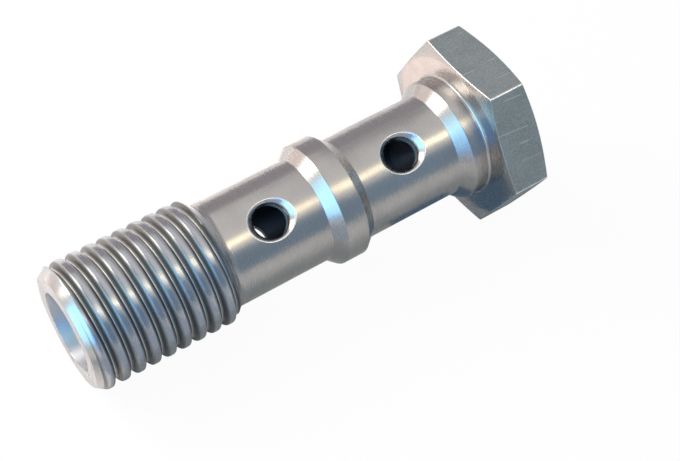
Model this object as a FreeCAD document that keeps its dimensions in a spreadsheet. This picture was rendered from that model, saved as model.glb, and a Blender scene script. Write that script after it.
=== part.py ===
import FreeCAD, Part

import os
import sys

import Sketcher
from FreeCAD import Rotation, Vector

# Double banjo bolt: a hollow screw that clamps two banjo eyes between its head and a port.
# It is one piece. Its axis is the body's own X axis, with the threaded end face at X = 0 and the
# hexagon head at the other end, and lengths along the axis start at the threaded end face.
# Two flats of the hexagon face straight up and straight down. At rest the bolt lies on the lower
# flat and on the start of its thread, so its axis rises a little towards the head.

NODE = "banjo_bolt"

SIZES = {
    # threaded end, with a cone that leads it into the port and one where the thread runs out
    "thread_diameter": 12.0,
    "thread_length": 13.6,
    "thread_runout": 1.0,
    "lead_diameter": 10.7,
    "lead_length": 0.93,
    # shanks, and the collars that centre the two eyes
    "shank_diameter": 10.1,
    "collar_diameter": 12.0,
    "collar_bevel": 1.1,
    "middle_collar_start": 24.2,
    "middle_collar_width": 2.15,
    "neck_width": 1.65,
    "neck_fillet": 0.3,
    # from the threaded end face to the bearing face under the head
    "reach": 41.15,
    # blind bore along the axis, open at the threaded end
    "bore_diameter": 7.6,
    "bore_depth": 36.0,
    "drill_point_angle": 118.0,
    # cross holes through both walls, with a countersink at each mouth
    "cross_hole_diameter": 3.2,
    "cross_sink_diameter": 4.5,
    "cross_sink_angle": 90.0,
    "cross_hole_turn": 30.0,
    "lower_hole_position": 19.5,
    "upper_hole_position": 33.5,
    # hexagon head, with a bevel under its corners and one round its crown
    "across_flats": 16.6,
    "head_height": 4.45,
    "bearing_face_diameter": 15.9,
    "under_bevel_angle": 11.0,
    "crown_face_diameter": 15.9,
    "crown_bevel_angle": 17.0,
}

doc = FreeCAD.newDocument("BanjoBolt")

# The sheet holds each size beside its name.
sheet = doc.addObject("Spreadsheet::Sheet", "Sizes")
for row, (size_name, value) in enumerate(SIZES.items(), start=1):
    sheet.set(f"A{row}", size_name)
    sheet.set(f"B{row}", str(value))
    sheet.setAlias(f"B{row}", size_name)
doc.recompute()


def cell(size_name):
    return f"Sizes.{size_name}"


def half(size_name):
    return f"Sizes.{size_name} / 2"


# Stations along the axis
RUNOUT_END = f"{cell('thread_length')} + {cell('thread_runout')}"
COLLAR_RISE = f"{cell('middle_collar_start')} + {cell('collar_bevel')}"
COLLAR_EDGE = f"{COLLAR_RISE} + {cell('middle_collar_width')}"
COLLAR_END = f"{COLLAR_EDGE} + {cell('collar_bevel')}"
NECK_EDGE = f"{cell('reach')} - {cell('neck_width')}"
NECK_START = f"{NECK_EDGE} - {cell('collar_bevel')}"
HEAD_MIDDLE = f"{cell('reach')} + {cell('head_height')} / 2"
HEAD_END = f"{cell('reach')} + {cell('head_height')}"

# Circle through the hexagon's corners, and one just clear of them for the bevels to start from
CORNER_DIAMETER = f"{cell('across_flats')} / cos(30)"
CLEAR_RADIUS = f"{CORNER_DIAMETER} / 2 + 1"
UNDER_BEVEL_RISE = f"({CLEAR_RADIUS} - {half('bearing_face_diameter')}) * tan({cell('under_bevel_angle')})"
CROWN_BEVEL_RISE = f"({CLEAR_RADIUS} - {half('crown_face_diameter')}) * tan({cell('crown_bevel_angle')})"

# Depth of the countersinks, which are drawn on outside the shank by the same depth again
SINK_WIDTH = f"({half('cross_sink_diameter')} - {half('cross_hole_diameter')})"
SINK_DEPTH = f"{SINK_WIDTH} / tan({cell('cross_sink_angle')} / 2)"
SINK_BOTTOM = f"{half('shank_diameter')} - {SINK_DEPTH}"
SINK_TOP = f"{half('shank_diameter')} + {SINK_DEPTH}"
SINK_TOP_RADIUS = f"{half('cross_sink_diameter')} + {SINK_WIDTH}"

# Lying at rest: the lower flat starts a little past the bearing face, because of the bevel there.
# The two places that touch the ground set the slope of the axis.
FLAT_START = (
    f"{cell('reach')} + max(0; {half('across_flats')} - {half('bearing_face_diameter')})"
    f" * tan({cell('under_bevel_angle')})"
)
SLOPE = (
    f"atan(({half('across_flats')} - {half('thread_diameter')})"
    f" / ({FLAT_START} - {cell('lead_length')}))"
)
LOW_END = f"-{half('lead_diameter')} * sin({SLOPE})"
HIGH_END = f"({HEAD_END}) * cos({SLOPE}) + {half('crown_face_diameter')} * sin({SLOPE})"
MIDDLE_OFFSET = f"-({LOW_END} + {HIGH_END}) / 2"
LIFT = f"{half('thread_diameter')} * cos({SLOPE}) - {cell('lead_length')} * sin({SLOPE})"

ORIGIN_POINT = (-1, 1)
X_AXIS_LINE = -1
Y_AXIS_LINE = -2
START, END = 1, 2

body = doc.addObject("PartDesign::Body", "Bolt")
body.Label = NODE


def origin_item(role):
    return next(item for item in body.Origin.OriginFeatures if item.Role == role)


def new_sketch(sketch_name, plane_role):
    sketch = body.newObject("Sketcher::SketchObject", sketch_name)
    sketch.AttachmentSupport = [(origin_item(plane_role), "")]
    sketch.MapMode = "FlatFace"
    return sketch


def hold_at(sketch, line, end, x_formula, y_formula):
    """Fix one end of a line at a place given by two formulas of the sheet."""
    directions = (("DistanceX", x_formula, Y_AXIS_LINE), ("DistanceY", y_formula, X_AXIS_LINE))
    for direction, formula, zero_line in directions:
        if formula == "0":
            sketch.addConstraint(Sketcher.Constraint("PointOnObject", line, end, zero_line))
            continue
        value = float(sketch.evalExpression(formula))
        constraint = Sketcher.Constraint(direction, *ORIGIN_POINT, line, end, value)
        number = sketch.addConstraint(constraint)
        sketch.setExpression(f"Constraints[{number}]", formula)


def draw_outline(sketch, corners):
    """Closed outline of straight lines whose corners are pairs of formulas. Returns its first line."""
    places = []
    for x_formula, y_formula in corners:
        x = float(sketch.evalExpression(x_formula))
        y = float(sketch.evalExpression(y_formula))
        places.append(Vector(x, y, 0))
    following = places[1:] + places[:1]
    lines = [sketch.addGeometry(Part.LineSegment(a, b), False) for a, b in zip(places, following)]
    for line, next_line in zip(lines, lines[1:] + lines[:1]):
        sketch.addConstraint(Sketcher.Constraint("Coincident", line, END, next_line, START))
    for line, (x_formula, y_formula) in zip(lines, corners):
        hold_at(sketch, line, START, x_formula, y_formula)
    return lines[0]


def edge_at(shape, station, radius):
    """Name of the round edge about the axis at this station and radius."""
    for number, edge in enumerate(shape.Edges, start=1):
        curve = edge.Curve
        if not isinstance(curve, Part.Circle):
            continue
        if abs(curve.Center.x - station) < 1e-4 and abs(curve.Radius - radius) < 1e-4:
            return f"Edge{number}"
    sys.exit(f"no round edge at {station} with radius {radius}")


# Turned blank: half section from the threaded end to the middle of the head
turned_section = new_sketch("TurnedSection", "XZ_Plane")
draw_outline(
    turned_section,
    [
        ("0", "0"),
        ("0", half("lead_diameter")),
        (cell("lead_length"), half("thread_diameter")),
        (cell("thread_length"), half("thread_diameter")),
        (RUNOUT_END, half("shank_diameter")),
        (cell("middle_collar_start"), half("shank_diameter")),
        (COLLAR_RISE, half("collar_diameter")),
        (COLLAR_EDGE, half("collar_diameter")),
        (COLLAR_END, half("shank_diameter")),
        (NECK_START, half("shank_diameter")),
        (NECK_EDGE, half("collar_diameter")),
        (HEAD_MIDDLE, half("collar_diameter")),
        (HEAD_MIDDLE, "0"),
    ],
)
turned_blank = body.newObject("PartDesign::Revolution", "TurnedBlank")
turned_blank.Profile = turned_section
turned_blank.ReferenceAxis = (turned_section, ["H_Axis"])
turned_blank.Angle = 360

# Hexagon head: a regular hexagon on a circle through its corners, with a flat facing up
hexagon = new_sketch("Hexagon", "YZ_Plane")
hexagon.setExpression("AttachmentOffset.Base.z", cell("reach"))
corner_radius = float(hexagon.evalExpression(CORNER_DIAMETER)) / 2
corners = [Rotation(Vector(0, 0, 1), 60 * k).multVec(Vector(corner_radius, 0, 0)) for k in range(6)]
sides = [
    hexagon.addGeometry(Part.LineSegment(corners[k], corners[(k + 1) % 6]), False) for k in range(6)
]
corner_circle = hexagon.addGeometry(
    Part.Circle(Vector(0, 0, 0), Vector(0, 0, 1), corner_radius), True
)
hexagon.addConstraint(Sketcher.Constraint("Coincident", corner_circle, 3, *ORIGIN_POINT))
for k in range(6):
    hexagon.addConstraint(Sketcher.Constraint("Coincident", sides[k], END, sides[(k + 1) % 6], START))
    hexagon.addConstraint(Sketcher.Constraint("PointOnObject", sides[k], START, corner_circle))
for k in range(1, 6):
    hexagon.addConstraint(Sketcher.Constraint("Equal", sides[0], sides[k]))
hexagon.addConstraint(Sketcher.Constraint("Horizontal", sides[1]))
corner_size = hexagon.addConstraint(
    Sketcher.Constraint("Diameter", corner_circle, 2 * corner_radius)
)
hexagon.setExpression(f"Constraints[{corner_size}]", CORNER_DIAMETER)
head = body.newObject("PartDesign::Pad", "Head")
head.Profile = hexagon
head.setExpression("Length", cell("head_height"))

# Bevels that are turned on the head's corners, under it and round its crown
bevel_section = new_sketch("BevelSection", "XZ_Plane")
draw_outline(
    bevel_section,
    [
        (cell("reach"), half("bearing_face_diameter")),
        (cell("reach"), CLEAR_RADIUS),
        (f"{cell('reach')} + {UNDER_BEVEL_RISE}", CLEAR_RADIUS),
    ],
)
draw_outline(
    bevel_section,
    [
        (HEAD_END, half("crown_face_diameter")),
        (HEAD_END, CLEAR_RADIUS),
        (f"{HEAD_END} - {CROWN_BEVEL_RISE}", CLEAR_RADIUS),
    ],
)
head_bevels = body.newObject("PartDesign::Groove", "HeadBevels")
head_bevels.Profile = bevel_section
head_bevels.ReferenceAxis = (bevel_section, ["H_Axis"])
head_bevels.Angle = 360
doc.recompute()

# Small fillet where the neck collar meets the bearing face
neck_fillet = body.newObject("PartDesign::Fillet", "NeckFillet")
neck_fillet.Base = (
    head_bevels,
    [edge_at(head_bevels.Shape, float(sheet.reach), float(sheet.collar_diameter) / 2)],
)
neck_fillet.setExpression("Radius", cell("neck_fillet"))

# Blind bore, with the cone that a drill leaves at its bottom
bore_section = new_sketch("BoreSection", "XZ_Plane")
DRILL_TIP = (
    f"{cell('bore_depth')} + {half('bore_diameter')} / tan({cell('drill_point_angle')} / 2)"
)
draw_outline(
    bore_section,
    [
        ("0", "0"),
        ("0", half("bore_diameter")),
        (cell("bore_depth"), half("bore_diameter")),
        (DRILL_TIP, "0"),
    ],
)
bore = body.newObject("PartDesign::Groove", "Bore")
bore.Profile = bore_section
bore.ReferenceAxis = (bore_section, ["H_Axis"])
bore.Angle = 360

# Cross hole and both its countersinks, turned about the hole's own axis. The sketch's plane holds
# the bolt's axis and is turned about it, so that the hole points at a corner of the hexagon.
hole_section = new_sketch("CrossHoleSection", "XZ_Plane")
hole_section.AttachmentOffset = FreeCAD.Placement(
    Vector(0, 0, 0), Rotation(Vector(1, 0, 0), float(sheet.cross_hole_turn))
)
hole_section.setExpression("AttachmentOffset.Rotation.Angle", cell("cross_hole_turn"))
HOLE_WALL = f"{cell('lower_hole_position')} + {half('cross_hole_diameter')}"
SINK_RIM = f"{cell('lower_hole_position')} + {SINK_TOP_RADIUS}"
first_line = draw_outline(
    hole_section,
    [
        (cell("lower_hole_position"), f"-({SINK_TOP})"),
        (SINK_RIM, f"-({SINK_TOP})"),
        (HOLE_WALL, f"-({SINK_BOTTOM})"),
        (HOLE_WALL, SINK_BOTTOM),
        (SINK_RIM, SINK_TOP),
        (cell("lower_hole_position"), SINK_TOP),
    ],
)
last_line = first_line + 5
hole_x = float(sheet.lower_hole_position)
hole_axis = hole_section.addGeometry(
    Part.LineSegment(Vector(hole_x, -1, 0), Vector(hole_x, 1, 0)), True
)
hole_section.addConstraint(Sketcher.Constraint("Coincident", hole_axis, START, last_line, END))
hole_section.addConstraint(Sketcher.Constraint("Coincident", hole_axis, END, last_line, START))
cross_hole = body.newObject("PartDesign::Groove", "CrossHole")
cross_hole.Profile = hole_section
cross_hole.ReferenceAxis = (hole_section, ["Axis0"])
cross_hole.Angle = 360
doc.recompute()

# The same hole again at the other eye
both_holes = body.newObject("PartDesign::LinearPattern", "BothCrossHoles")
both_holes.Originals = [cross_hole]
both_holes.Direction = (origin_item("X_Axis"), [""])
both_holes.Occurrences = 2
both_holes.setExpression(
    "Length", f"{cell('upper_hole_position')} - {cell('lower_hole_position')}"
)
body.Tip = both_holes

# Lying at rest, with the middle of its underside box at the origin
body.Placement = FreeCAD.Placement(Vector(0, 0, 0), Rotation(Vector(0, -1, 0), 3))
body.setExpression("Placement.Rotation.Angle", SLOPE)
body.setExpression("Placement.Base.x", MIDDLE_OFFSET)
body.setExpression("Placement.Base.z", LIFT)
doc.recompute()

for item in doc.Objects:
    if "Invalid" in item.State or "Error" in item.State:
        sys.exit(f"{item.Name} failed: {item.State}")

# Each feature adds or takes away material as it should.
growing = [turned_blank, head]
cutting = [head_bevels, bore, cross_hole, both_holes]
features = [turned_blank, head, head_bevels, neck_fillet, bore, cross_hole, both_holes]
for before, after in zip(features, features[1:]):
    change = after.Shape.Volume - before.Shape.Volume
    if after in growing and change <= 0 or after in cutting and change >= 0:
        sys.exit(f"{after.Name} changes the volume by {change:.3f} mm3")

if body.Shape.isNull() or not body.Shape.isValid() or len(body.Shape.Solids) != 1:
    sys.exit(f"{NODE} is not one valid solid")

os.makedirs("parts", exist_ok=True)
body.Shape.exportStep(f"parts/{NODE}.step")
box = body.Shape.optimalBoundingBox(False, False)
print(f"{NODE}: {body.Shape.Volume:.1f} mm3, {box.XLength:.2f} x {box.YLength:.2f} x {box.ZLength:.2f} mm")
print(f"lowest point {box.ZMin:.4f}, middle of the box {(box.XMin + box.XMax) / 2:.4f}")
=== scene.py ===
import math

import bmesh
import bpy
import numpy as np
from mathutils import Euler, Matrix, Vector


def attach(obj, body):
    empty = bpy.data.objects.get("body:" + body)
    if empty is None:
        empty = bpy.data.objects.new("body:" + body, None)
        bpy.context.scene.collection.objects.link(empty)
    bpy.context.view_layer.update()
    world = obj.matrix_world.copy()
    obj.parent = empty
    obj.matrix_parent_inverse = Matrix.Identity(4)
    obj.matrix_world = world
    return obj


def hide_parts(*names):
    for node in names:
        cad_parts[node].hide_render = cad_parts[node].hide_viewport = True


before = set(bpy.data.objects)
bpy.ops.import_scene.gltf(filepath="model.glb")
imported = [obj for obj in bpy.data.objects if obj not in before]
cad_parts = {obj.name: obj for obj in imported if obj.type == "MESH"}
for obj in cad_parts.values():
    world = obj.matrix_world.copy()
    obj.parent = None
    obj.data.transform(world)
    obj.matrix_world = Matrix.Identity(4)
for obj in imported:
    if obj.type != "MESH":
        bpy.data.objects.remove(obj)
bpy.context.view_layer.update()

scene = bpy.context.scene
mm = 0.001
fullTurn = 2 * math.pi

# Every surface of the bolt is a grid of points. It is worked out in the bolt's own frame, in
# millimetres: x runs along the axis from the threaded end face to the crown of the head, and the
# angle goes round the axis from +Y towards +Z. Angles are in degrees.
bolt = {
    "columns": 192,  # steps round the axis, a multiple of 12
    "leadRadius": 5.35,
    "leadLength": 0.93,
    "threadRadius": 6.0,
    "threadEnd": 13.6,
    "shankStart": 14.6,
    "shankRadius": 5.05,
    "shankStep": 0.6,  # longest step along a shank
    "collarRadius": 6.0,
    "collarBevel": 1.1,
    "middleCollar": 24.2,
    "middleWidth": 2.15,
    "neckWidth": 1.65,
    "neckFillet": 0.3,
    "neckFoot": 0.6,  # how far the fillet's surface goes on over the bearing face
    "reach": 41.15,
    "boreRadius": 3.8,
    "boreDepth": 36.0,
    "boreStep": 1.5,
    "drillAngle": 118,
    "drillEdge": 0.03,
    "drillRing": 0.4,  # from the last ring of the drill's cone to its tip
    "edgeBreak": 0.07,  # how far back from a turned edge its rounding starts
}
thread = {
    "pitch": 1.5,
    "firstCrest": 1.93,  # where a crest stands at crestAngle
    "crestAngle": 39.8,
    "crestHalf": 0.34,  # half the width of a crest
    "crestRound": 0.21,
    "rootRound": 0.17,
    "flankAngle": 30,
    "ridgeStep": 0.25,  # longest step across a ridge
    "spareTurns": 2,  # beyond each end, because the helix shifts a row by up to a pitch
    "start": 0.5,
    "fadeIn": (0.52, 1.15),  # the groove is cut from nothing to full depth between these
}
head = {
    "flat": 8.3,  # from the axis to a flat
    "height": 4.45,
    "faceRadius": 7.95,
    "faceRings": 4,
    "faceGap": 0.1,  # from the face's last ring to the bevel
    "underAngle": 11,
    "crownAngle": 17,
    "crownRings": 9,
    "crownGap": 0.2,
    "crease": 0.06,  # rounding between a bevel and its face
    "cornerRound": 0.22,
    "cornerSteps": 4,  # in half a corner
    "edgeRound": 0.07,
    "sideRings": (0, 0.02, 0.25, 0.5, 0.75, 0.98, 1),  # over a side's height, close at its edges
    "wornSides": (1, 4),  # counted round from +Y
}
holes = {
    "stations": (19.5, 33.5),
    "angles": (120, 300),
    "radius": 1.6,
    "sinkRadius": 2.25,
    "sinkAngle": 90,
    "edgeRound": 0.08,
    "rimPasses": 40,
    "wallStart": 0.15,  # first step of the wall below the countersink
    "wallRings": 5,
    "patchLength": 2.45,  # half the patch round a hole, along the axis
    "patchColumns": 18,  # and round it, in columns
    "patchRows": 20,
    "patchRings": 9,
    "patchCrowding": 1.3,  # above 1, rings stand closer near the hole
}
# Last steps of the mesh: points nearer than weld become one, and edges past the angle stay sharp
meshing = {"weld": 1e-4, "sliver": 1e-5, "sharpAngle": 50}

# Lying at rest on the lower flat and the start of the thread, which sets the slope of the axis
headEnd = bolt["reach"] + head["height"]
underRise = math.tan(math.radians(head["underAngle"]))
crownRise = math.tan(math.radians(head["crownAngle"]))
flatStart = bolt["reach"] + (head["flat"] - head["faceRadius"]) * underRise
slope = math.atan((head["flat"] - bolt["threadRadius"]) / (flatStart - bolt["leadLength"]))
lowEnd = -bolt["leadRadius"] * math.sin(slope)
highEnd = headEnd * math.cos(slope) + head["faceRadius"] * math.sin(slope)
restPlace = Vector((
    -(lowEnd + highEnd) / 2,
    0,
    bolt["threadRadius"] * math.cos(slope) - bolt["leadLength"] * math.sin(slope),
)) * mm
restTurn = Euler((0, -slope, 0))
restMatrix = Matrix.LocRotScale(restPlace, restTurn, Vector((mm, mm, mm)))

columnAngles = np.linspace(0, fullTurn, bolt["columns"] + 1)


def bend(before, corner, after, steps=4):
    # Parabola that leaves the line before-corner and joins the line corner-after, through points or
    # whole rings: (1-t)^2 of before, plus 2t(1-t) of the corner, plus t^2 of after
    t = np.linspace(0, 1, steps + 1).reshape(-1, *[1] * before.ndim)
    return (1 - t) ** 2 * before + 2 * t * (1 - t) * corner + t**2 * after


def between(first, last, steps):
    # Rings from the first to the last: (1-s) of the first plus s of the last, for each step s
    s = np.array(steps)[:, None, None]
    return first * (1 - s) + last * s


def rings(*parts):
    # Puts single rings and grids of rings one after another into one grid
    return np.concatenate([part if part.ndim == 3 else part[None] for part in parts])


def roundedLine(corners):
    # Profile through (x, radius, cut) corners. A corner with a cut is rounded from that far back.
    points = np.array([corner[:2] for corner in corners], float)
    line = [points[:1]]
    for k in range(1, len(corners) - 1):
        cut = corners[k][2]
        if not cut:
            line.append(points[k : k + 1])
            continue
        back, onward = points[k - 1] - points[k], points[k + 1] - points[k]
        before = points[k] + back / np.linalg.norm(back) * cut
        after = points[k] + onward / np.linalg.norm(onward) * cut
        line.append(bend(before, points[k], after))
    line.append(points[-1:])
    return np.concatenate(line)


def straight(start, end, longest=bolt["shankStep"]):
    # Points from one (x, radius) to another, no further apart than the given length
    count = max(1, math.ceil(math.dist(start, end) / longest))
    return np.linspace(start, end, count + 1)


def around(x, radius, angles):
    # Points at x along the axis and the radius from it: (x, radius cos angle, radius sin angle)
    return np.stack(np.broadcast_arrays(x, radius * np.cos(angles), radius * np.sin(angles)), -1)


def turned(profile, angles=columnAngles):
    # Surface of revolution: each (x, radius) of the profile goes round the axis
    return around(profile[:, :1], profile[:, 1:], angles)


def faceCorners(grid):
    # What a grid holds at the four corners of each of its faces, in order round the face
    return grid[:-1, :-1], grid[1:, :-1], grid[1:, 1:], grid[:-1, 1:]


class Surface:
    # Collects grids, each a rows x columns x 3 array, as faces of one mesh. A finish is one number,
    # or one for each column of faces. Only the faces where keep is true are made.
    def __init__(self):
        self.points, self.faces, self.finishes, self.uvs = [], [], [], []
        self.count = 0

    def add(self, grid, finish, keep=None):
        rows, columns = grid.shape[:2]
        index = np.arange(rows * columns).reshape(rows, columns) + self.count
        across, along = np.meshgrid(np.linspace(0, 1, columns), np.linspace(0, 1, rows))
        faces = np.stack(faceCorners(index), -1)
        uv = np.stack(faceCorners(np.stack([across, along], -1)), -2)
        finish = np.broadcast_to(finish, faces.shape[:2])
        if keep is not None:
            faces, uv, finish = faces[keep], uv[keep], finish[keep]
        self.points.append(grid.reshape(-1, 3))
        self.faces.append(faces.reshape(-1, 4))
        self.uvs.append(uv.reshape(-1, 2))
        self.finishes.append(finish.ravel())
        self.count += rows * columns


# Finishes, in the order of the material slots
turnedFinish, threadFinish, flatFinish, boreFinish, edgeFinish = range(5)
surface = Surface()

# Threaded end: bore mouth, end face and the first part of the lead cone
cut = bolt["edgeBreak"]
bore, shank, collar = bolt["boreRadius"], bolt["shankRadius"], bolt["collarRadius"]
leadRadius, threadRadius = bolt["leadRadius"], bolt["threadRadius"]
leadRise = (threadRadius - leadRadius) / bolt["leadLength"]
endFace = roundedLine([
    (cut, bore, 0),
    (0, bore, cut),
    (0, leadRadius, cut),
    (thread["start"], leadRadius + thread["start"] * leadRise, 0),
])
surface.add(turned(endFace), turnedFinish)

# Thread: rows follow the helix, so that crests and roots lie along them. Radius of the ridge by the
# place across it: level over the crest, down the flank, round through the root and up again. The
# lead cone and the run-out cone then cap it, and rows beyond either end are held at that end.
pitch, halfPitch = thread["pitch"], thread["pitch"] / 2
crestAngle = math.radians(thread["crestAngle"])
vee = threadRadius - (halfPitch - thread["crestHalf"]) / math.tan(math.radians(thread["flankAngle"]))
ridgeCorners = roundedLine([
    (0, threadRadius, 0),
    (thread["crestHalf"], threadRadius, thread["crestRound"]),
    (halfPitch, vee, thread["rootRound"]),
    (pitch - thread["crestHalf"], threadRadius, thread["crestRound"]),
    (pitch, threadRadius, 0),
])
spans = zip(ridgeCorners[:-1], ridgeCorners[1:])
ridge = np.concatenate([straight(start, end, thread["ridgeStep"])[:-1] for start, end in spans])
spare = thread["spareTurns"]
turns = np.arange(-spare, math.ceil(bolt["shankStart"] / pitch) + spare)
rowPlace = (turns[:, None] * pitch + ridge[:, 0]).ravel() + thread["firstCrest"]
helixShift = (columnAngles - crestAngle) / fullTurn * pitch
helixX = rowPlace[:, None] + helixShift
heldX = np.clip(helixX, thread["start"], bolt["shankStart"])


def ridgeRadius(x):
    # Radius of the ridge at x, with its depth times 3f^2 - 2f^3 where f, the fade, rises from 0 to 1
    across = (x - helixShift - thread["firstCrest"]) % pitch
    depth = threadRadius - np.interp(across, *ridgeCorners.T)
    fadeStart, fadeEnd = thread["fadeIn"]
    fade = np.clip((x - fadeStart) / (fadeEnd - fadeStart), 0, 1)
    return threadRadius - depth * fade**2 * (3 - 2 * fade)


leadCone = leadRadius + heldX * leadRise
runoutRise = (threadRadius - shank) / (bolt["shankStart"] - bolt["threadEnd"])
runoutCone = threadRadius - (heldX - bolt["threadEnd"]) * runoutRise
threadRadii = np.minimum(np.minimum(ridgeRadius(heldX), leadCone), runoutCone)
heldRows = (helixX <= thread["start"], helixX >= bolt["shankStart"])
beforeThread, afterThread = [np.all(faceCorners(held), axis=0) for held in heldRows]
surface.add(around(heldX, threadRadii, columnAngles), threadFinish, ~(beforeThread | afterThread))
print("thread rows", len(rowPlace))

# Shanks and collars, in lengths between the patches round the cross holes
patchLength = holes["patchLength"]
firstPatch, secondPatch = [(s - patchLength, s + patchLength) for s in holes["stations"]]
middle = bolt["middleCollar"] + bolt["collarBevel"]
middleEnd = middle + bolt["middleWidth"]
neckStart = bolt["reach"] - bolt["neckWidth"]
faceStart = collar + bolt["neckFoot"]
surface.add(turned(straight((bolt["shankStart"], shank), (firstPatch[0], shank))), turnedFinish)
middleLine = roundedLine([
    (firstPatch[1], shank, 0),
    (bolt["middleCollar"], shank, cut),
    (middle, collar, cut),
    (middleEnd, collar, cut),
    (middleEnd + bolt["collarBevel"], shank, cut),
    (secondPatch[0], shank, 0),
])
surface.add(turned(middleLine), turnedFinish)
neckLine = roundedLine([
    (secondPatch[1], shank, 0),
    (neckStart - bolt["collarBevel"], shank, cut),
    (neckStart, collar, cut),
    (bolt["reach"], collar, bolt["neckFillet"]),
    (bolt["reach"], faceStart, 0),
])
surface.add(turned(neckLine), turnedFinish)

# Outline of the hexagon with rounded corners: an arc at each corner and a straight side between.
# One sixth runs from corner to corner and is then turned by 60 degrees at a time. The first corner
# points along +Y, so a flat faces down.
sixth, cornerSteps = bolt["columns"] // 6, head["cornerSteps"]
thirty, sixty = math.radians(30), math.radians(60)
arcCentre = np.array([(head["flat"] - head["cornerRound"]) / math.cos(thirty), 0])
halfArc = np.radians(np.linspace(0, 30, cornerSteps + 1))
arc = arcCentre + head["cornerRound"] * np.stack([np.cos(halfArc), np.sin(halfArc)], -1)
mirror = np.array([[math.cos(sixty), math.sin(sixty)], [math.sin(sixty), -math.cos(sixty)]])
farArc = (arc @ mirror)[::-1]
side = np.linspace(arc[-1], farArc[0], sixth - 2 * cornerSteps + 1)[1:-1]
oneSixth = np.concatenate([arc, side, farArc])[:-1]
sixthTurns = np.radians(60 * np.arange(6))[:, None]
outlineY = (oneSixth[:, 0] * np.cos(sixthTurns) - oneSixth[:, 1] * np.sin(sixthTurns)).ravel()
outlineZ = (oneSixth[:, 0] * np.sin(sixthTurns) + oneSixth[:, 1] * np.cos(sixthTurns)).ravel()
outlineY, outlineZ = np.append(outlineY, outlineY[0]), np.append(outlineZ, outlineZ[0])
hexRadius = np.hypot(outlineY, outlineZ)
hexAngles = np.unwrap(np.arctan2(outlineZ, outlineY))


def headRing(x, radius):
    # Ring whose points stand at the hexagon's own angles, so that it lines up with the corners
    return around(x, radius, hexAngles)


# Bearing face: from the neck's round foot to a ring of the hexagon's angles
faceRadius = head["faceRadius"]
firstRing = around(bolt["reach"], faceStart, columnAngles)
outerRing = headRing(bolt["reach"], faceRadius - head["faceGap"])
surface.add(between(firstRing, outerRing, np.linspace(0, 1, head["faceRings"])), turnedFinish)

# Bright worn edges: every corner, and the lower edges of the sides named in the head's measures
sixthColumn = np.arange(bolt["columns"]) % sixth
wornCorner = (sixthColumn < cornerSteps) | (sixthColumn >= sixth - cornerSteps)
wornSide = np.isin(np.arange(bolt["columns"]) // sixth, head["wornSides"])
sideFinish = np.where(wornCorner, edgeFinish, flatFinish)
lowEdgeFinish = np.where(wornSide | wornCorner, edgeFinish, flatFinish)

# Under bevel, sides and crown bevel: each cone rises with the distance past the face's circle, and
# the edges where they meet the sides are rounded
reachBack, crease = head["edgeRound"], head["crease"]
lowEdgeX = bolt["reach"] + (hexRadius - faceRadius) * underRise
highEdgeX = headEnd - (hexRadius - faceRadius) * crownRise
lowBefore = headRing(lowEdgeX - reachBack * underRise, hexRadius - reachBack)
lowCorner = headRing(lowEdgeX, hexRadius)
lowAfter = headRing(lowEdgeX + reachBack, hexRadius)
highBefore = headRing(highEdgeX - reachBack, hexRadius)
highCorner = headRing(highEdgeX, hexRadius)
highAfter = headRing(highEdgeX + reachBack * crownRise, hexRadius - reachBack)
underBend = bend(
    headRing(bolt["reach"], faceRadius - crease),
    headRing(bolt["reach"], faceRadius),
    headRing(bolt["reach"] + crease * underRise, faceRadius + crease),
    steps=2,
)
crownBend = bend(
    headRing(headEnd - crease * crownRise, faceRadius + crease),
    headRing(headEnd, faceRadius),
    headRing(headEnd, faceRadius - crease),
    steps=2,
)
crownRadii = np.linspace(faceRadius - head["crownGap"], 0, head["crownRings"])
surface.add(rings(outerRing, underBend, lowBefore), turnedFinish)
surface.add(bend(lowBefore, lowCorner, lowAfter), lowEdgeFinish)
surface.add(between(lowAfter, highBefore, head["sideRings"]), sideFinish)
surface.add(bend(highBefore, highCorner, highAfter), sideFinish)
surface.add(rings(highAfter, crownBend, headRing(headEnd, crownRadii[:, None])), turnedFinish)
print("head done")

# Blind bore with the drill's cone at its bottom
drillLength = bore / math.tan(math.radians(bolt["drillAngle"] / 2))
drillTip = bolt["boreDepth"] + drillLength
for start, end in ((cut, firstPatch[0]), (firstPatch[1], secondPatch[0])):
    surface.add(turned(straight((start, bore), (end, bore), bolt["boreStep"])), boreFinish)
boreEnd = roundedLine([
    (secondPatch[1], bore, 0),
    (bolt["boreDepth"], bore, bolt["drillEdge"]),
    (drillTip - bolt["drillRing"], bolt["drillRing"] * bore / drillLength, 0),
    (drillTip, 0, 0),
])
surface.add(turned(boreEnd), boreFinish)

# Cross holes. The wall round each hole is a patch that runs from a rectangle of the main grid to the
# hole's own ring, and the plain wall between the two patches is a strip of the main grid.
patchColumns, patchRows = holes["patchColumns"], holes["patchRows"]
columnStep = fullTurn / bolt["columns"]
sinkSlope = math.tan(math.radians(holes["sinkAngle"] / 2))
sinkBottom = shank - (holes["sinkRadius"] - holes["radius"]) / sinkSlope
acrossPatch = np.arange(-patchColumns, patchColumns + 1) * columnStep
alongPatch = np.linspace(-patchLength, patchLength, patchRows + 1)
rectangle = np.concatenate([
    np.stack([np.full(2 * patchColumns, alongPatch[0]), acrossPatch[:-1]], -1),
    np.stack([alongPatch[:-1], np.full(patchRows, acrossPatch[-1])], -1),
    np.stack([np.full(2 * patchColumns, alongPatch[-1]), acrossPatch[:0:-1]], -1),
    np.stack([alongPatch[:0:-1], np.full(patchRows, acrossPatch[0])], -1),
    [[alongPatch[0], acrossPatch[0]]],
])


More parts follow.
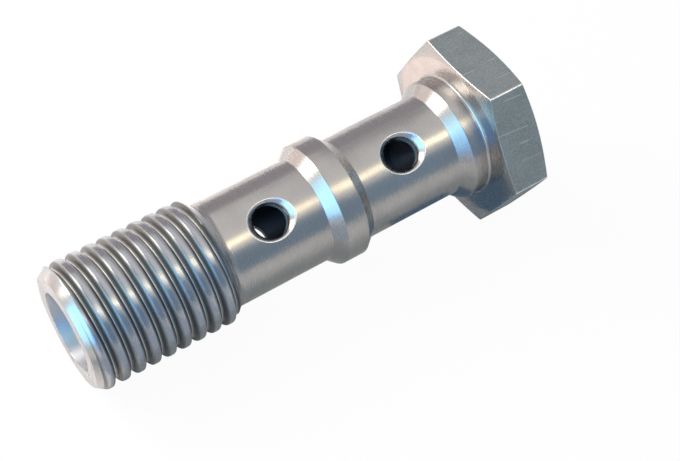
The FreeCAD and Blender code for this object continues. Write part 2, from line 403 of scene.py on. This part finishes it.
def cylinderPatch(radius, holeRadius, bearing):
    # On a cylinder: place along the axis and angle, both shared out between the rectangle and the
    # hole's ring, whose points are at (q cos b, asin(q sin b / radius)) for radius q and bearing b
    ring = np.stack([holeRadius * np.cos(bearing), np.arcsin(holeRadius * np.sin(bearing) / radius)], -1)
    share = 1 - np.linspace(1, 0, holes["patchRings"] + 1) ** holes["patchCrowding"]
    flat = between(rectangle, ring, share)
    return around(flat[..., 0], radius, flat[..., 1])


def wallRing(q, bearing, height):
    # Ring of the hole at distance q from its axis, at the given height from the bolt's axis
    return np.stack(np.broadcast_arrays(q * np.cos(bearing), height, q * np.sin(bearing)), -1)


def holeGrids():
    # The hole looks along +Y here. Its countersink widens with the height, q = radius + (h - bottom)
    # x slope, and meets the shank where h^2 + (q sin b)^2 = shank radius^2.
    bearing = np.arctan2(rectangle[:, 1] * shank, rectangle[:, 0])
    rimHeight = np.full(len(bearing), shank)
    for _ in range(holes["rimPasses"]):
        rimRadius = holes["radius"] + (rimHeight - sinkBottom) * sinkSlope
        rimHeight = (rimHeight + np.sqrt(shank**2 - (rimRadius * np.sin(bearing)) ** 2)) / 2
    eased = holes["edgeRound"]
    outer = cylinderPatch(shank, rimRadius + eased, bearing)
    rim = wallRing(rimRadius, bearing, rimHeight)
    inSink = wallRing(rimRadius - eased * sinkSlope, bearing, rimHeight - eased)
    foot = wallRing(holes["radius"], bearing, sinkBottom)
    boreBearing = np.arctan2(rectangle[:, 1] * bore, rectangle[:, 0])
    inner = cylinderPatch(bore, holes["radius"], boreBearing)
    lower = wallRing(holes["radius"], boreBearing, sinkBottom - holes["wallStart"])
    rimBend = bend(outer[-1], rim, inSink, steps=3)
    sinkWall = rings(inSink, (inSink + foot) / 2, foot)
    straightWall = rings(foot, between(lower, inner[-1], np.linspace(0, 1, holes["wallRings"])))
    return outer, rimBend, sinkWall, straightWall, inner


def turnedAbout(grid, station, angle):
    # Moves a hole's grid along the axis and turns it from +Y to its own angle
    c, s = math.cos(angle), math.sin(angle)
    x, y, z = grid[..., 0], grid[..., 1], grid[..., 2]
    return np.stack([x + station, y * c - z * s, y * s + z * c], -1)


holeFinishes = (turnedFinish, edgeFinish, turnedFinish, boreFinish, boreFinish)
holeParts = list(zip(holeGrids(), holeFinishes))
stripSteps = np.arange(bolt["columns"] // 2 - 2 * patchColumns + 1)
for station in holes["stations"]:
    for degrees in holes["angles"]:
        angle = math.radians(degrees)
        for grid, finish in holeParts:
            surface.add(turnedAbout(grid, station, angle), finish)
        stripAngles = (round(angle / columnStep) + patchColumns + stripSteps) * columnStep
        for radius, finish in ((shank, turnedFinish), (bore, boreFinish)):
            strip = np.stack([alongPatch + station, np.full(patchRows + 1, radius)], -1)
            surface.add(turned(strip, stripAngles), finish)
print("holes done")


def buildMesh(name, surface):
    # One closed mesh of all the grids, with equal points welded, laid down as the bolt rests
    mesh = bpy.data.meshes.new(name)
    mesh.from_pydata(np.concatenate(surface.points), [], np.concatenate(surface.faces))
    uvLayer = mesh.uv_layers.new(name="around")
    uvLayer.data.foreach_set("uv", np.concatenate(surface.uvs).astype(np.float32).ravel())
    mesh.polygons.foreach_set("material_index", np.concatenate(surface.finishes).astype(np.int32))
    welded = bmesh.new()
    welded.from_mesh(mesh)
    bmesh.ops.remove_doubles(welded, verts=welded.verts, dist=meshing["weld"])
    bmesh.ops.dissolve_degenerate(welded, edges=welded.edges, dist=meshing["sliver"])
    bmesh.ops.recalc_face_normals(welded, faces=welded.faces)
    loose = sum(1 for edge in welded.edges if len(edge.link_faces) != 2)
    welded.to_mesh(mesh)
    welded.free()
    mesh.transform(restMatrix)
    mesh.shade_smooth()
    mesh.set_sharp_from_angle(angle=math.radians(meshing["sharpAngle"]))
    made = bpy.data.objects.new(name, mesh)
    scene.collection.objects.link(made)
    mesh.calc_loop_triangles()
    print(name, len(mesh.loop_triangles), "triangles,", loose, "edges without two faces")
    return made


boltPiece = buildMesh("banjoBolt", surface)


class Recipe:
    # One node tree, of a material or of the world, with a short way to add each kind of node
    def __init__(self, name, owner=None):
        self.owner = owner or bpy.data.materials.new(name)
        self.owner.use_nodes = True
        self.nodes, self.links = self.owner.node_tree.nodes, self.owner.node_tree.links
        self.nodes.clear()

    def add(self, kind, inputs=(), **settings):
        # Inputs are (socket name or number, value or socket) pairs
        made = self.nodes.new("ShaderNode" + kind)
        for key, value in settings.items():
            setattr(made, key, value)
        for key, value in inputs:
            if isinstance(value, bpy.types.NodeSocket):
                self.links.new(value, made.inputs[key])
            else:
                made.inputs[key].default_value = value
        return made

    def math(self, operation, a, b=0.0, c=0.0):
        return self.add("Math", [(0, a), (1, b), (2, c)], operation=operation).outputs[0]

    def vector(self, operation, a, b=(0, 0, 0)):
        made = self.add("VectorMath", [(0, a), (1, b)], operation=operation)
        return made.outputs["Value" if operation in ("LENGTH", "DOT_PRODUCT") else "Vector"]

    def stretched(self, place, along):
        # A small number along the bolt draws a pattern out in that direction
        return self.vector("MULTIPLY", place, (along, 1, 1))

    def noise(self, place, scale, detail=2.0, roughness=0.5):
        inputs = [("Vector", place), ("Scale", scale), ("Detail", detail), ("Roughness", roughness)]
        return self.add("TexNoise", inputs).outputs[0]

    def lineNoise(self, place, scale, detail=2.0):
        inputs = [("W", place), ("Scale", scale), ("Detail", detail)]
        return self.add("TexNoise", inputs, noise_dimensions="1D").outputs[0]

    def ranged(self, value, low, high, toLow, toHigh):
        inputs = [(0, value), (1, low), (2, high), (3, toLow), (4, toHigh)]
        return self.add("MapRange", inputs).outputs[0]

    def spread(self, noise, toLow, toHigh, reach=0.2):
        # Most of a noise lies within that reach of a half
        return self.ranged(noise, 0.5 - reach, 0.5 + reach, toLow, toHigh)

    def blend(self, share, first, second):
        # Share 0 gives the first colour and 1 the second
        first, second = [(*color, 1) if isinstance(color, tuple) else color for color in (first, second)]
        return self.add("Mix", [(0, share), (6, first), (7, second)], data_type="RGBA").outputs[2]

    def bump(self, height, distance):
        inputs = [("Height", height), ("Distance", distance), ("Strength", 1.0)]
        return self.add("Bump", inputs).outputs[0]

    def finish(self, shader):
        self.add("OutputMaterial", [("Surface", shader)])
        return self.owner


# Materials. Marks are laid out in the bolt's own frame: scales are in marks to a millimetre, and the
# depths of marks are in metres.
boltAxis = restTurn.to_matrix() @ Vector((1, 0, 0))


def boltPlace(recipe):
    # Object coordinates of the shaded point, and its place in the bolt's frame
    coordinates = recipe.add("TexCoord").outputs["Object"]
    rest = [("Location", restPlace), ("Rotation", restTurn), ("Scale", (mm, mm, mm))]
    mapping = recipe.add("Mapping", [("Vector", coordinates), *rest], vector_type="TEXTURE")
    return coordinates, mapping.outputs[0]


def profilePlace(recipe, place, slant):
    # x of the place, and how far along the turned profile it is: x plus the radius times the slant
    x = recipe.add("SeparateXYZ", [(0, place)]).outputs[0]
    radius = recipe.vector("LENGTH", recipe.vector("MULTIPLY", place, (0, 1, 1)))
    return x, recipe.math("MULTIPLY_ADD", radius, slant, x)


def alongProfile(recipe, coordinates):
    # Direction across the turning marks: along the axis on a cylinder, outwards on a face. It is the
    # normal crossed with the way round the axis.
    fromAxis = recipe.vector("SUBTRACT", coordinates, restPlace)
    wayRound = recipe.vector("CROSS_PRODUCT", boltAxis, fromAxis)
    normal = recipe.add("NewGeometry").outputs["Normal"]
    return recipe.vector("CROSS_PRODUCT", wayRound, normal)


def finishSteel(recipe, color, roughness, bump, tangent, anisotropy):
    shader = recipe.add("BsdfPrincipled", [
        ("Base Color", color), ("Metallic", 1.0), ("Roughness", roughness), ("Anisotropic", anisotropy),
        ("Normal", bump), ("Tangent", tangent),
    ])
    return recipe.finish(shader.outputs[0])


turnedLook = {
    "color": (0.475, 0.448, 0.432),
    "dullColor": (0.42, 0.40, 0.39),
    "dullFrom": (0.35, 0.7),  # of the patches' noise
    "patchScale": 0.35,
    "roughness": 0.26,
    "patchRoughness": (-0.03, 0.04),  # added to it, patch by patch
    "markRoughness": 0.03,
    "anisotropy": 0.35,
    "markDepth": 0.0000012,
    "broadMarks": 2.45,
    "fineMarks": 11.2,
    "broadWeight": 2.2,  # of the broad marks, where the fine ones weigh 1
    "markFade": (0.6, 1.2),  # both kinds are weaker and stronger by patches
    "profileSlant": 0.7,
    "waveDepth": 0.000006,
    "waveScale": 0.8,
    "gritDepth": 0.0000014,
    "gritScale": 4.0,
}


def turnedSteel():
    look, recipe = turnedLook, Recipe("turnedSteel")
    coordinates, place = boltPlace(recipe)
    along = profilePlace(recipe, place, look["profileSlant"])[1]
    broad = recipe.lineNoise(along, look["broadMarks"], detail=2)
    fine = recipe.lineNoise(along, look["fineMarks"], detail=3)
    patch = recipe.noise(place, look["patchScale"], detail=3)
    waves = recipe.noise(place, look["waveScale"], detail=1)
    grit = recipe.noise(place, look["gritScale"], detail=3, roughness=0.6)
    marks = recipe.math("ADD", recipe.math("MULTIPLY", broad, look["broadWeight"]), fine)
    marks = recipe.math("MULTIPLY", marks, recipe.spread(patch, *look["markFade"]))
    marks = recipe.math("MULTIPLY_ADD", waves, look["waveDepth"] / look["markDepth"], marks)
    marks = recipe.math("MULTIPLY_ADD", grit, look["gritDepth"] / look["markDepth"], marks)
    bump = recipe.bump(marks, look["markDepth"])
    color = recipe.blend(recipe.ranged(patch, *look["dullFrom"], 0, 1), look["color"], look["dullColor"])
    low, high = [look["roughness"] + change for change in look["patchRoughness"]]
    byMark = recipe.spread(fine, -look["markRoughness"], look["markRoughness"])
    roughness = recipe.math("ADD", recipe.spread(patch, low, high), byMark)
    tangent = alongProfile(recipe, coordinates)
    return finishSteel(recipe, color, roughness, bump, tangent, look["anisotropy"])


threadLook = {
    # Colour across one ridge, by its place from crest to crest: the steel's own colour on the crest,
    # painted shade on the flanks and in the groove, and a painted highlight at the bottom of the groove
    "across": (
        (0, (0.43, 0.435, 0.46)), (0.24, (0.43, 0.435, 0.46)), (0.33, (0.12, 0.12, 0.125)),
        (0.45, (0.05, 0.05, 0.055)), (0.49, (0.74, 0.72, 0.69)), (0.57, (0.7, 0.68, 0.65)),
        (0.61, (0.24, 0.24, 0.24)), (0.70, (0.18, 0.18, 0.18)), (0.76, (0.22, 0.215, 0.21)),
        (0.82, (0.35, 0.35, 0.355)), (0.89, (0.43, 0.435, 0.46)),
    ),
    "wander": 0.012,  # how far the colours stray across the ridge
    "roughness": 0.26,
    "flankRoughness": 0.45,
    "flankStart": (0.14, 0.24),  # share of a pitch from the crest over which it changes
    "patchRoughness": (-0.04, 0.05),
    "patchScale": 0.8,
    "anisotropy": 0.4,
    "grainDepth": 0.000006,
    "grainScale": 11.0,
    "grainStretch": 0.15,
}


def threadSteel():
    look, recipe = threadLook, Recipe("threadSteel")
    coordinates, place = boltPlace(recipe)
    x, y, z = recipe.add("SeparateXYZ", [(0, place)]).outputs
    angle = recipe.math("ARCTAN2", z, y)
    crest = recipe.math("MULTIPLY_ADD", angle, pitch / fullTurn, thread["firstCrest"])
    crest = recipe.math("SUBTRACT", crest, crestAngle / fullTurn * pitch)
    across = recipe.math("FRACT", recipe.math("DIVIDE", recipe.math("SUBTRACT", x, crest), pitch))
    drawnOut = recipe.stretched(place, look["grainStretch"])
    grain = recipe.noise(drawnOut, look["grainScale"], detail=3, roughness=0.6)
    patch = recipe.noise(place, look["patchScale"], detail=3)
    shifted = recipe.math("ADD", across, recipe.spread(patch, -look["wander"], look["wander"]))
    # Painted shade in the groove and a painted highlight at its bottom, laid on as colours across the
    # ridge
    shadeAndHighlightRamp = recipe.add("ValToRGB", [("Fac", shifted)])
    stops = shadeAndHighlightRamp.color_ramp.elements
    while len(stops) < len(look["across"]):
        stops.new(0.5)  # each is moved to its place below
    for stop, (position, color) in zip(stops, look["across"]):
        stop.position, stop.color = position, (*color, 1)
    bump = recipe.bump(grain, look["grainDepth"])
    fromCrest = recipe.math("PINGPONG", across, 0.5)  # in shares of a pitch
    roughness = recipe.ranged(fromCrest, *look["flankStart"], look["roughness"], look["flankRoughness"])
    roughness = recipe.math("ADD", roughness, recipe.spread(patch, *look["patchRoughness"]))
    tangent = alongProfile(recipe, coordinates)
    return finishSteel(recipe, shadeAndHighlightRamp.outputs[0], roughness, bump, tangent, look["anisotropy"])


drawnLook = {
    "color": (0.355, 0.378, 0.378),
    "dullColor": (0.285, 0.306, 0.302),
    "dullReach": 0.15,  # less makes its edges harder
    "roughness": 0.55,
    "roughnessSpread": 0.05,
    "anisotropy": 0.3,
    "grainDepth": 0.0000088,
    "grainScale": 9.0,
    "grainStretch": 0.12,
    "grainDull": (-0.25, 0.3),  # share of the dull colour that the grain adds
    "patchScale": 0.7,
    "patchStretch": 0.6,
    "patchDull": (0, 0.7),
    "speckleScale": 6.0,
    "speckleWeight": 0.8,  # in the relief, where the grain weighs 1
    "speckleDull": (-0.8, 0.8),
    "scratchColor": (0.62, 0.65, 0.65),
    "scratchShare": 0.6,
    "scratchSlant": (0.05, 1.0, 0.12),  # scratches run across this direction
    "scratchScale": 6.0,
    "scratchEdge": (0.72, 0.76),  # higher leaves fewer and thinner scratches
    "scratchReach": (0.53, 0.6),  # higher makes them shorter
    "reachScale": 0.9,
    "reachStretch": 0.5,
}


def drawnSteel():
    look, recipe = drawnLook, Recipe("drawnSteel")
    place = boltPlace(recipe)[1]
    drawnOut = recipe.stretched(place, look["grainStretch"])
    grain = recipe.noise(drawnOut, look["grainScale"], detail=4, roughness=0.65)
    patch = recipe.noise(recipe.stretched(place, look["patchStretch"]), look["patchScale"], detail=3)
    speckle = recipe.noise(place, look["speckleScale"], detail=3, roughness=0.7)
    height = recipe.math("ADD", grain, recipe.math("MULTIPLY", speckle, look["speckleWeight"]))
    bump = recipe.bump(height, look["grainDepth"])
    byPatch = recipe.spread(patch, *look["patchDull"], look["dullReach"])
    byGrain = recipe.spread(grain, *look["grainDull"], look["dullReach"])
    bySpeckle = recipe.spread(speckle, *look["speckleDull"], look["dullReach"])
    share = recipe.math("ADD", recipe.math("ADD", byPatch, byGrain), bySpeckle)
    color = recipe.blend(recipe.ranged(share, 0, 1, 0, 1), look["color"], look["dullColor"])
    slanted = recipe.vector("DOT_PRODUCT", place, look["scratchSlant"])
    line = recipe.lineNoise(slanted, look["scratchScale"], detail=0)
    reach = recipe.noise(recipe.stretched(place, look["reachStretch"]), look["reachScale"], detail=1)
    lines = recipe.ranged(line, *look["scratchEdge"], 0, look["scratchShare"])
    scratch = recipe.math("MULTIPLY", lines, recipe.ranged(reach, *look["scratchReach"], 0, 1))
    color = recipe.blend(scratch, color, look["scratchColor"])
    low, high = look["roughness"] - look["roughnessSpread"], look["roughness"] + look["roughnessSpread"]
    roughness = recipe.spread(speckle, low, high)
    normal = recipe.add("NewGeometry").outputs["Normal"]
    tangent = recipe.vector("CROSS_PRODUCT", boltAxis, normal)
    return finishSteel(recipe, color, roughness, bump, tangent, look["anisotropy"])


boreLook = {
    "color": (0.7, 0.71, 0.74),
    # Painted shade: from the mouth's colour to a dark colour deeper in the blind bore
    "deepShadeColor": (0.16, 0.17, 0.19),
    "deepShadeFrom": (8, 14),  # from the mouth, in millimetres
    "roughness": 0.6,
    "anisotropy": 0.85,
    "markDepth": 0.000003,
    "markScale": 5.0,
    "profileSlant": 0.5,
}


def boreSteel():
    look, recipe = boreLook, Recipe("boreSteel")
    coordinates, place = boltPlace(recipe)
    x, along = profilePlace(recipe, place, look["profileSlant"])
    bump = recipe.bump(recipe.lineNoise(along, look["markScale"], detail=3), look["markDepth"])
    # Painted shade: the colour darkens going into the bore
    color = recipe.blend(recipe.ranged(x, *look["deepShadeFrom"], 0, 1), look["color"], look["deepShadeColor"])
    tangent = alongProfile(recipe, coordinates)
    return finishSteel(recipe, color, look["roughness"], bump, tangent, look["anisotropy"])


edgeLook = {
    "color": (0.7, 0.69, 0.68, 1),
    "roughness": 0.27,
    "roughnessSpread": 0.06,
    "anisotropy": 0.0,
    "nickDepth": 0.00002,
    "nickScale": 2.2,
}


def edgeSteel():
    look, recipe = edgeLook, Recipe("edgeSteel")
    coordinates, place = boltPlace(recipe)
    nicks = recipe.noise(place, look["nickScale"], detail=3, roughness=0.6)
    bump = recipe.bump(nicks, look["nickDepth"])
    low, high = look["roughness"] - look["roughnessSpread"], look["roughness"] + look["roughnessSpread"]
    roughness = recipe.spread(nicks, low, high)
    tangent = alongProfile(recipe, coordinates)
    return finishSteel(recipe, look["color"], roughness, bump, tangent, look["anisotropy"])


for makeFinish in (turnedSteel, threadSteel, drawnSteel, boreSteel, edgeSteel):
    boltPiece.data.materials.append(makeFinish())
print("finishes", [material.name for material in boltPiece.data.materials])

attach(boltPiece, "root")
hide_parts("banjo_bolt")

# Camera, at the photograph's place
camera = {
    "place": (-0.0467908, -0.0731125, 0.1028649),
    "lens": 74.77,
    "sensor": 36,
    "nearest": 0.01,
    "right": (0.8305791, -0.5562028, 0.0278703),
    "up": (0.4000459, 0.6307094, 0.6649578),
}
cameraData = bpy.data.cameras.new("camera")
cameraData.lens = camera["lens"]
cameraData.sensor_width = camera["sensor"]
cameraData.clip_start = camera["nearest"]
cameraObject = bpy.data.objects.new("camera", cameraData)
right, up = Vector(camera["right"]), Vector(camera["up"])
cameraTurn = Matrix((right, up, right.cross(up))).transposed()
cameraObject.matrix_world = Matrix.Translation(camera["place"]) @ cameraTurn.to_4x4()
scene.collection.objects.link(cameraObject)
scene.camera = cameraObject
print("camera turn", [round(math.degrees(angle), 3) for angle in cameraTurn.to_euler()])

# Floor and world, both white. The floor keeps a part of its own shading, and with it the shadow.
studio = {
    "roomRadius": 0.3,  # how far lamps and cards stand from the bolt
    "floorHalf": 0.9,
    "floorColor": (0.9, 0.9, 0.9),
    "floorWhite": 0.95,  # share of plain white that the camera sees, the rest is its own shading
    "floorWhiteReflected": 0.0,  # and that reflections see
    "paperHeight": 0.00005,
    "worldLight": (0.33, 0.40, 0.47),
}


def whiteShare(recipe, cameraShare, glossyShare):
    # How much of plain white a ray is shown: one share for the camera and one for reflections
    path = recipe.add("LightPath").outputs
    seen = recipe.math("MULTIPLY", path["Is Camera Ray"], cameraShare)
    reflected = recipe.math("MAXIMUM", path["Is Glossy Ray"], path["Is Transmission Ray"])
    return recipe.math("MULTIPLY_ADD", reflected, glossyShare, seen)


def makeSheet(name, xRange, yRange, height=0.0, place=Matrix()):
    # One level rectangle between the given x and y, put at its place
    (x0, x1), (y0, y1) = xRange, yRange
    corners = [(x0, y0, height), (x1, y0, height), (x1, y1, height), (x0, y1, height)]
    mesh = bpy.data.meshes.new(name)
    mesh.from_pydata(corners, [], [(0, 1, 2, 3)])
    made = bpy.data.objects.new(name, mesh)
    made.matrix_world = place
    scene.collection.objects.link(made)
    return made


def makeFloor():
    half = studio["floorHalf"]
    floor = makeSheet("floor", (-half, half), (-half, half))
    recipe = Recipe("paleFloor")
    paper = recipe.add("BsdfDiffuse", [("Color", (*studio["floorColor"], 1))])
    white = recipe.add("Emission", [("Color", (1, 1, 1, 1)), ("Strength", 1.0)])
    share = whiteShare(recipe, studio["floorWhite"], studio["floorWhiteReflected"])
    mix = recipe.add("MixShader", [("Fac", share), (1, paper.outputs[0]), (2, white.outputs[0])])
    floor.data.materials.append(recipe.finish(mix.outputs[0]))


def makeWorld():
    scene.world = bpy.data.worlds.new("studio")
    recipe = Recipe("studio", scene.world)
    light = recipe.add("Background", [("Color", (*studio["worldLight"], 1)), ("Strength", 1.0)])
    white = recipe.add("Background", [("Color", (1, 1, 1, 1)), ("Strength", 1.0)])
    share = whiteShare(recipe, 1, 1)
    mix = recipe.add("MixShader", [("Fac", share), (1, light.outputs[0]), (2, white.outputs[0])])
    recipe.add("OutputWorld", [("Surface", mix.outputs[0])])


makeFloor()
makeWorld()

# Lamps and cards stand round the bolt. Each is given by the angle of its middle round from +X, by its
# elevation and by its width and height, all in degrees. A strip runs along the bolt, the rest stand
# level. A card is a sheet that glows with its colour, dim or bright, and only reflections see it: a
# painted reflection of a side of the room.
lamps = {
    "warmStrip": {
        "turn": -57, "rise": 57.5, "size": (49, 12), "color": (1, 0.8, 0.3),
        "radiance": 1.1, "strip": True,
    },
    "whiteStrip": {
        "turn": -44, "rise": 50.5, "size": (14, 10), "color": (1, 1, 0.86),
        "radiance": 2, "strip": True,
    },
    "threadStrip": {
        "turn": -127, "rise": 56, "size": (71, 9), "color": (1, 0.98, 0.84),
        "radiance": 1.2, "strip": True,
    },
    "window": {
        "turn": 128, "rise": 34, "size": (40, 40), "color": (1, 0.89, 0.83),
        "radiance": 9, "distance": 0.17, "glossy": False,
    },
}
cards = {
    "backCard": {"turn": 77, "rise": 20, "size": (56, 42), "color": (0.47, 0.45, 0.49)},
    "highCard": {"turn": 20, "rise": 44, "size": (62, 28), "color": (0.46, 0.48, 0.52)},
    "ceilingCard": {"turn": 185, "rise": 66, "size": (46, 28), "color": (0.42, 0.5, 0.6)},
    "frontCard": {"turn": -60, "rise": 17, "size": (21, 38), "color": (0.3, 0.43, 0.57)},
    "threadCard": {"turn": -88, "rise": 21, "size": (36, 47), "color": (0.25, 0.34, 0.43)},
    "sideCard": {"turn": -27, "rise": 18, "size": (42, 54), "color": (0.33, 0.41, 0.47)},
    "skyCard": {"turn": 196, "rise": 18, "size": (50, 46), "color": (1.4, 2.7, 3.5)},
    "deepSkyCard": {"turn": 234, "rise": 28, "size": (36, 64), "color": (0.32, 0.68, 1.4)},
    "whiteCard": {"turn": 138, "rise": 42, "size": (24, 30), "color": (7, 6.7, 6)},
    "warmCard": {"turn": 112, "rise": 6, "size": (34, 34), "color": (1.4, 1.22, 1.16)},
}
# Papers lie on the floor and only reflections see them, for the underside of the head and the low side
# of the thread to reflect: a painted pool of light behind the bolt, painted shadow under the bolt next
# to the head, and painted shade in front of the threaded end. x and y ranges in metres
papers = {
    "lightPoolPaper": {"x": (-0.002, 0.016), "y": (0.007, 0.022), "color": (1.85, 1.6, 1.5)},
    "shadePaper": {"x": (0.0107, 0.0177), "y": (-0.0069, 0.0036), "color": (0.1, 0.165, 0.25)},
    "threadShadePaper": {"x": (-0.036, -0.004), "y": (-0.055, -0.0105), "color": (0.5, 0.58, 0.68)},
}


def facing(turn, rise, distance, strip=False):
    # Frame at the given place: Z away from the bolt, X level or as near along the bolt as it gets
    away = Euler((0, math.radians(90 - rise), math.radians(turn))).to_matrix() @ Vector((0, 0, 1))
    along = Vector((1, 0, 0)) if strip else Vector((0, 0, 1)).cross(away)
    level = (along - away * along.dot(away)).normalized()
    frameTurn = Matrix((level, away.cross(level), away)).transposed().to_4x4()
    return Matrix.Translation(away * distance) @ frameTurn


def halfSizes(distance, size):
    # Half the width and half the height that fill the given angles at that distance
    return [distance * math.tan(math.radians(degrees / 2)) for degrees in size]


def makeLamp(name, lamp):
    distance = lamp.get("distance", studio["roomRadius"])
    halfWidth, halfHeight = halfSizes(distance, lamp["size"])
    data = bpy.data.lights.new(name, "AREA")
    data.shape = "RECTANGLE"
    data.size, data.size_y = 2 * halfWidth, 2 * halfHeight
    data.color = lamp["color"]
    data.energy = lamp["radiance"] * data.size * data.size_y * math.pi
    made = bpy.data.objects.new(name, data)
    made.matrix_world = facing(lamp["turn"], lamp["rise"], distance, lamp.get("strip", False))
    made.visible_camera = False
    made.visible_glossy = lamp.get("glossy", True)
    scene.collection.objects.link(made)


def showToReflections(card, color):
    # Gives a sheet its glow and hides it from all but reflections
    recipe = Recipe(card.name)
    glow = recipe.add("Emission", [("Color", (*color, 1))])
    card.data.materials.append(recipe.finish(glow.outputs[0]))
    card.visible_camera = card.visible_diffuse = card.visible_shadow = card.visible_transmission = False


for name, lamp in lamps.items():
    makeLamp(name, lamp)
for name, card in cards.items():
    halfWidth, halfHeight = halfSizes(studio["roomRadius"], card["size"])
    place = facing(card["turn"], card["rise"], studio["roomRadius"])
    sheet = makeSheet(name, (-halfWidth, halfWidth), (-halfHeight, halfHeight), place=place)
    showToReflections(sheet, card["color"])
for name, paper in papers.items():
    showToReflections(makeSheet(name, paper["x"], paper["y"], studio["paperHeight"]), paper["color"])
print("studio:", len(lamps), "lamps,", len(cards), "cards,", len(papers), "papers")

scene.view_settings.view_transform = "Standard"
